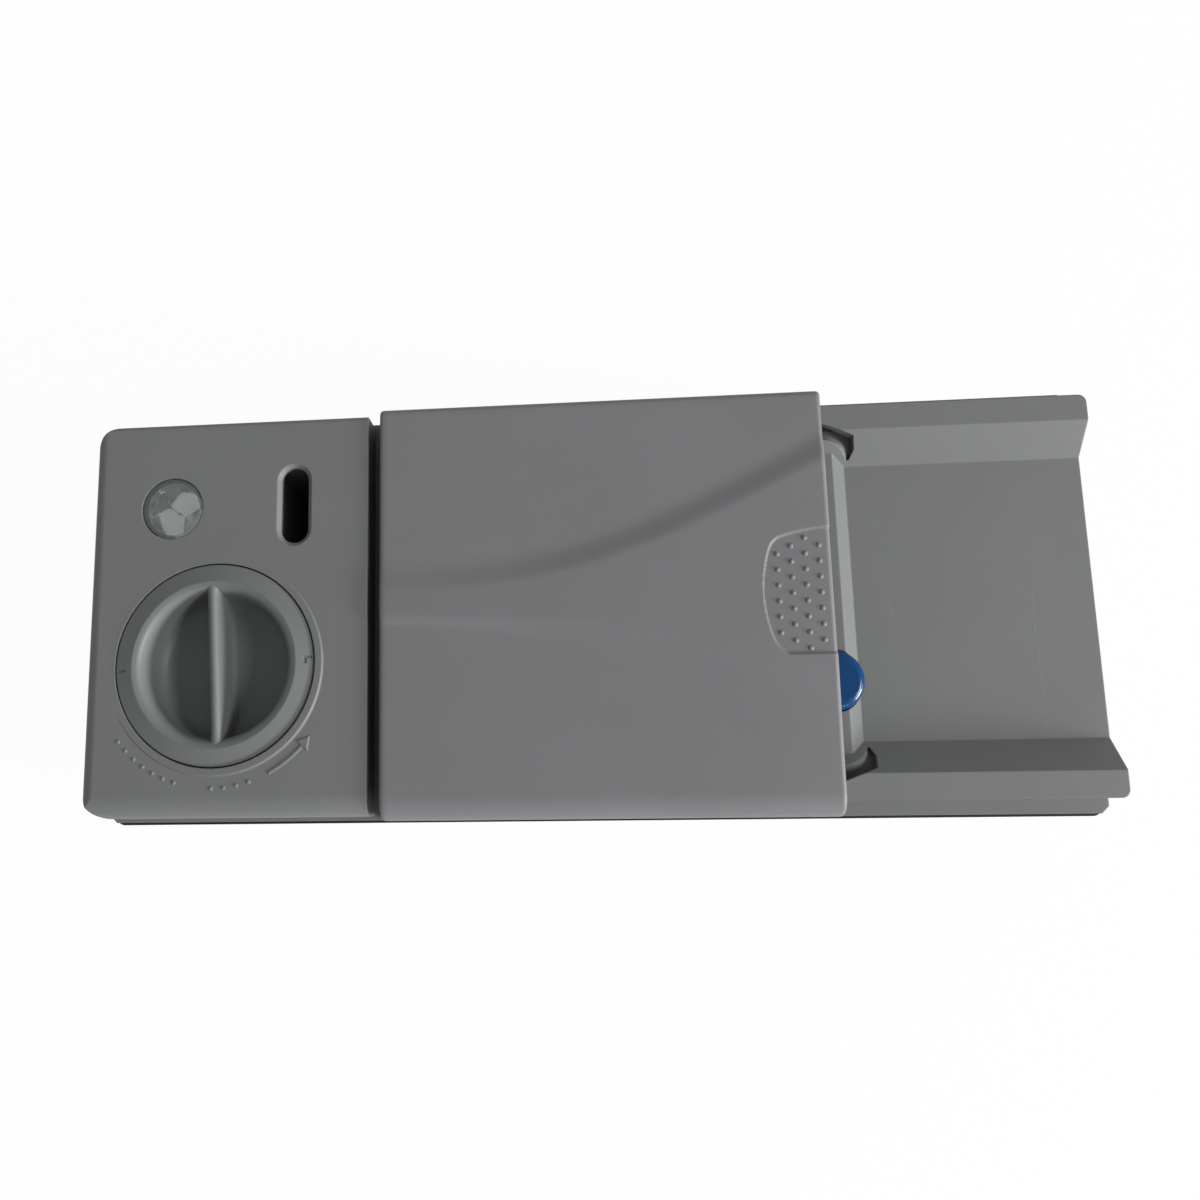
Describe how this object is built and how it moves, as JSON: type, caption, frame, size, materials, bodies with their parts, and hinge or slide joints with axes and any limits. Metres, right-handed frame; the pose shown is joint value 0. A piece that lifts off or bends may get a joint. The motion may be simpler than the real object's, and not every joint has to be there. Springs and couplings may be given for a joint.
{
  "type": "dishwasher detergent dispenser",
  "caption": "Slide-lid dishwasher detergent dispenser with a rinse-aid tank, a quarter-turn cap, a level window, a push release and a coil actuator.",
  "frame": {"origin": "under the middle of the part, on the plane of its rear face", "axes": "+X along the length towards the open tray end, +Y across the width, +Z out of the front face; the part lies on its back as on an open door"},
  "size_m": [0.232, 0.0978, 0.0503],
  "materials": {
    "housing": "fine moulded grain",
    "lid": "fine moulded grain",
    "lid_inner": "satin moulded",
    "cap": "fine moulded grain",
    "white_plastic": "satin moulded",
    "lever": "satin moulded",
    "tank": "satin, slightly translucent",
    "button": "satin moulded",
    "selector": "satin moulded",
    "float": "satin moulded",
    "rubber": "matt moulded",
    "spring_steel": "drawn wire",
    "steel": "zinc plated",
    "screw_steel": "zinc plated",
    "terminal": "tin plated",
    "copper": "enamelled wire",
    "magnet": "sintered",
    "reed": "glass capsule",
    "lens": "clear polished"
  },
  "bodies": {
    "housing": {"front_housing": "housing", "door_gasket": "rubber", "cup_seal": "rubber", "level_window": "lens", "reservoir_shell": "tank", "reed_switch": "reed", "lever_pin": "steel", "coil_bobbin": "white_plastic", "coil_winding": "copper", "coil_yoke": "steel", "coil_screws": "screw_steel", "terminal_tabs": "terminal", "lid_spring": "spring_steel", "button_spring": "spring_steel", "plunger_spring": "spring_steel", "valve_spring": "spring_steel"},
    "lid": {"sliding_lid": "lid", "lid_carrier": "lid_inner", "spring_runner": "white_plastic", "latch_runner": "white_plastic"},
    "button": {"release_button": "button"},
    "rocker": {"release_lever": "lever"},
    "plunger": {"plunger": "steel"},
    "dosing": {"dosing_rod": "steel", "dosing_valve": "rubber"},
    "cap": {"rinse_cap": "cap", "cap_seal": "rubber"},
    "selector": {"dose_selector": "selector"},
    "float": {"level_float": "float", "float_magnet": "magnet"}
  },
  "joints": [
    {"name": "lid_slide", "type": "slide", "parent": "housing", "child": "lid", "axis": [1, 0, 0], "range_m": [0, 0.058], "deforming": ["lid_spring"]},
    {"name": "lever_turn", "type": "hinge", "parent": "housing", "child": "rocker", "pos_m": [0.072, 0, 0.026], "axis": [0, -1, 0], "range_deg": [0, 10]},
    {"name": "button_press", "type": "slide", "parent": "housing", "child": "button", "axis": [0, 0, -1], "range_m": [0, 0.0026], "stiffness_N_per_m": 60, "springref_m": -0.005, "deforming": ["button_spring"]},
    {"name": "plunger_pull", "type": "slide", "parent": "housing", "child": "plunger", "axis": [1, 0, 0], "range_m": [0, 0.0025], "deforming": ["plunger_spring"]},
    {"name": "valve_pull", "type": "slide", "parent": "housing", "child": "dosing", "axis": [1, 0, 0], "range_m": [0, 0.0025], "deforming": ["valve_spring"]},
    {"name": "cap_turn", "type": "hinge", "parent": "housing", "child": "cap", "pos_m": [-0.0845, -0.0118, 0.04], "axis": [0, 0, 1], "range_deg": [0, 90]},
    {"name": "dose_turn", "type": "hinge", "parent": "housing", "child": "selector", "pos_m": [-0.0845, -0.0118, 0.03], "axis": [0, 0, 1], "range_deg": [0, 150]},
    {"name": "float_travel", "type": "slide", "parent": "housing", "child": "float", "axis": [0, 1, 0], "range_m": [0, 0.013]}
  ],
  "couplings": [
    {"joint": "lever_turn", "follows": "button_press", "rad_per_m": 67.114},
    {"joint": "plunger_pull", "follows": "button_press", "ratio": 0.9396},
    {"joint": "valve_pull", "follows": "button_press", "ratio": 0.9396}
  ]
}
